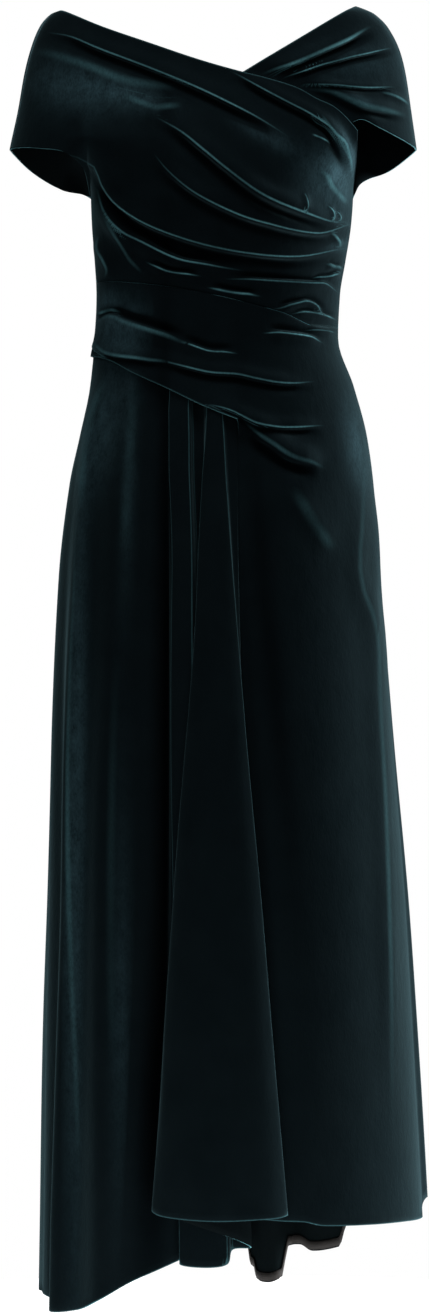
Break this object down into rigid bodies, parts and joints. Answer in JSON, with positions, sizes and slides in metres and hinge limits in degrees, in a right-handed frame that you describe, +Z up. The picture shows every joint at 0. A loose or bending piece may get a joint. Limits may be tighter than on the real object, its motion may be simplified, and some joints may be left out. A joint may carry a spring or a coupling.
{
  "type": "long off-shoulder draped velvet dress with an asymmetric hem",
  "caption": "Floor-length off-shoulder velvet dress, filled out as worn, with a crossed draped bodice, hip drape, raised pleat, flared fold and longer back.",
  "frame": {"origin": "midway between the upper arms, at the height where the off-shoulder sleeves rest on them", "axes": "+Z up along the wearer's height, -Y out of the front, +X towards the wearer's left arm"},
  "size_m": [0.4516, 0.4296, 1.4],
  "materials": {
    "velvet": "deep teal stretch velvet, near black face on and bright along folds seen edge on",
    "hem_tape": "matt brown-grey woven tape"
  },
  "bodies": {
    "root": {"bodice_front_over": "velvet", "bodice_front_under": "velvet", "bodice_back": "velvet", "skirt_front_drape": "velvet", "skirt_front_pleats": "velvet", "skirt_back": "velvet", "hem_tape": "hem_tape"}
  },
  "joints": []
}
